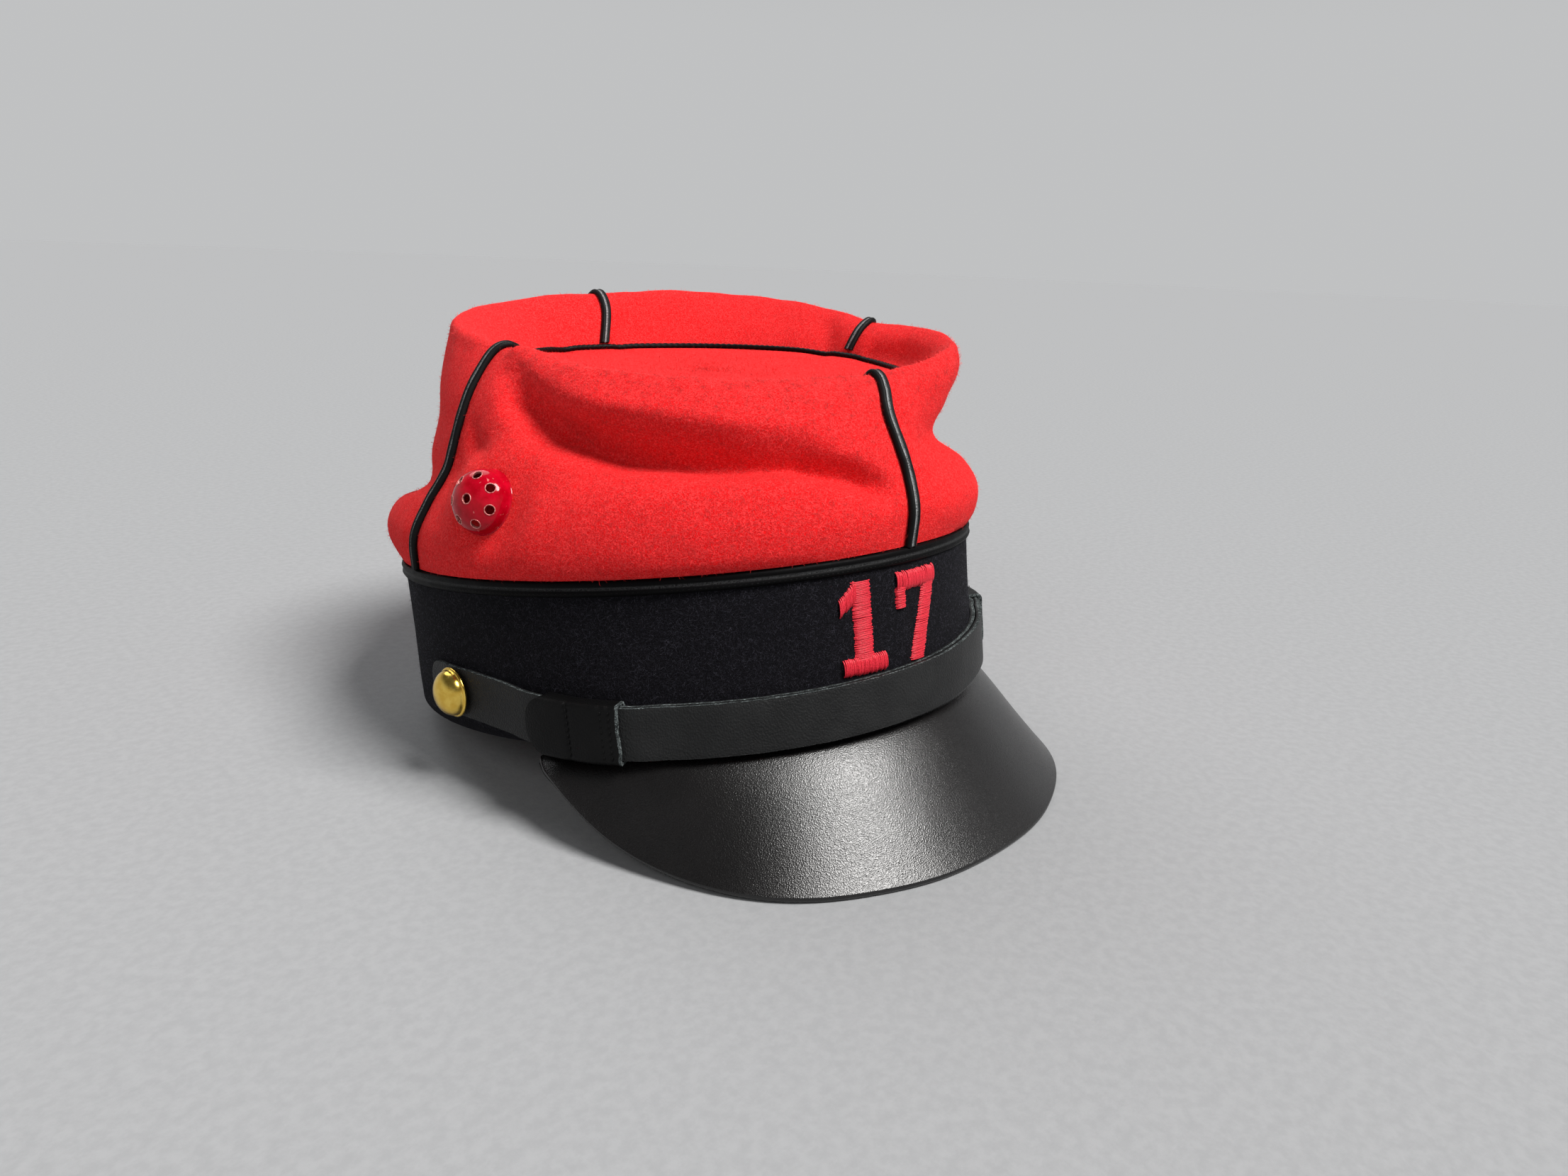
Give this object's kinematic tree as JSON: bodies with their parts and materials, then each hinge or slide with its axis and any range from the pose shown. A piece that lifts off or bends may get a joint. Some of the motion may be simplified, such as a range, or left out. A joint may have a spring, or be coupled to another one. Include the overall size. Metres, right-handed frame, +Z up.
{
  "type": "kepi cap",
  "caption": "Soft low-crowned cap: folded felt crown leaning over a straight cloth band, stiff leather peak, chin straps through slides, side buttons, domed vents and braided seams.",
  "frame": {"origin": "on the surface the cap rests on, under the middle of its outline from above", "axes": "+Z up, -Y towards the peak, +X towards the wearer's left. The band's axis leans back from +Z by 9.58 degrees about X, because the cap stands on the front edge of its peak and the back edge of its band"},
  "size_m": [0.1882, 0.2444, 0.1376],
  "materials": {
    "band_cloth": "near-black navy wool cloth, matt",
    "crown_felt": "scarlet wool felt with a short nap",
    "braid": "black two-ribbed braid, slight sheen",
    "peak_leather": "black fine-grained leather, soft gloss",
    "strap_leather": "charcoal leather, matt, cut edges",
    "button_brass": "polished brass",
    "vent_enamel": "gloss crimson enamel over stamped metal",
    "digit_thread": "red satin-stitched thread"
  },
  "bodies": {
    "root": {"band": "band_cloth", "crown_front_right": "crown_felt", "crown_front_left": "crown_felt", "crown_back_right": "crown_felt", "crown_back_left": "crown_felt", "crown_top": "crown_felt", "seam_braid_front": "braid", "seam_braid_right": "braid", "seam_braid_back": "braid", "seam_braid_left": "braid", "base_braid": "braid", "top_braid": "braid", "peak": "peak_leather", "chin_strap_right": "strap_leather", "chin_strap_left": "strap_leather", "slide_right": "strap_leather", "slide_left": "strap_leather", "button_right": "button_brass", "button_left": "button_brass", "vent_right": "vent_enamel", "vent_left": "vent_enamel", "number_first": "digit_thread", "number_second": "digit_thread"}
  },
  "joints": []
}
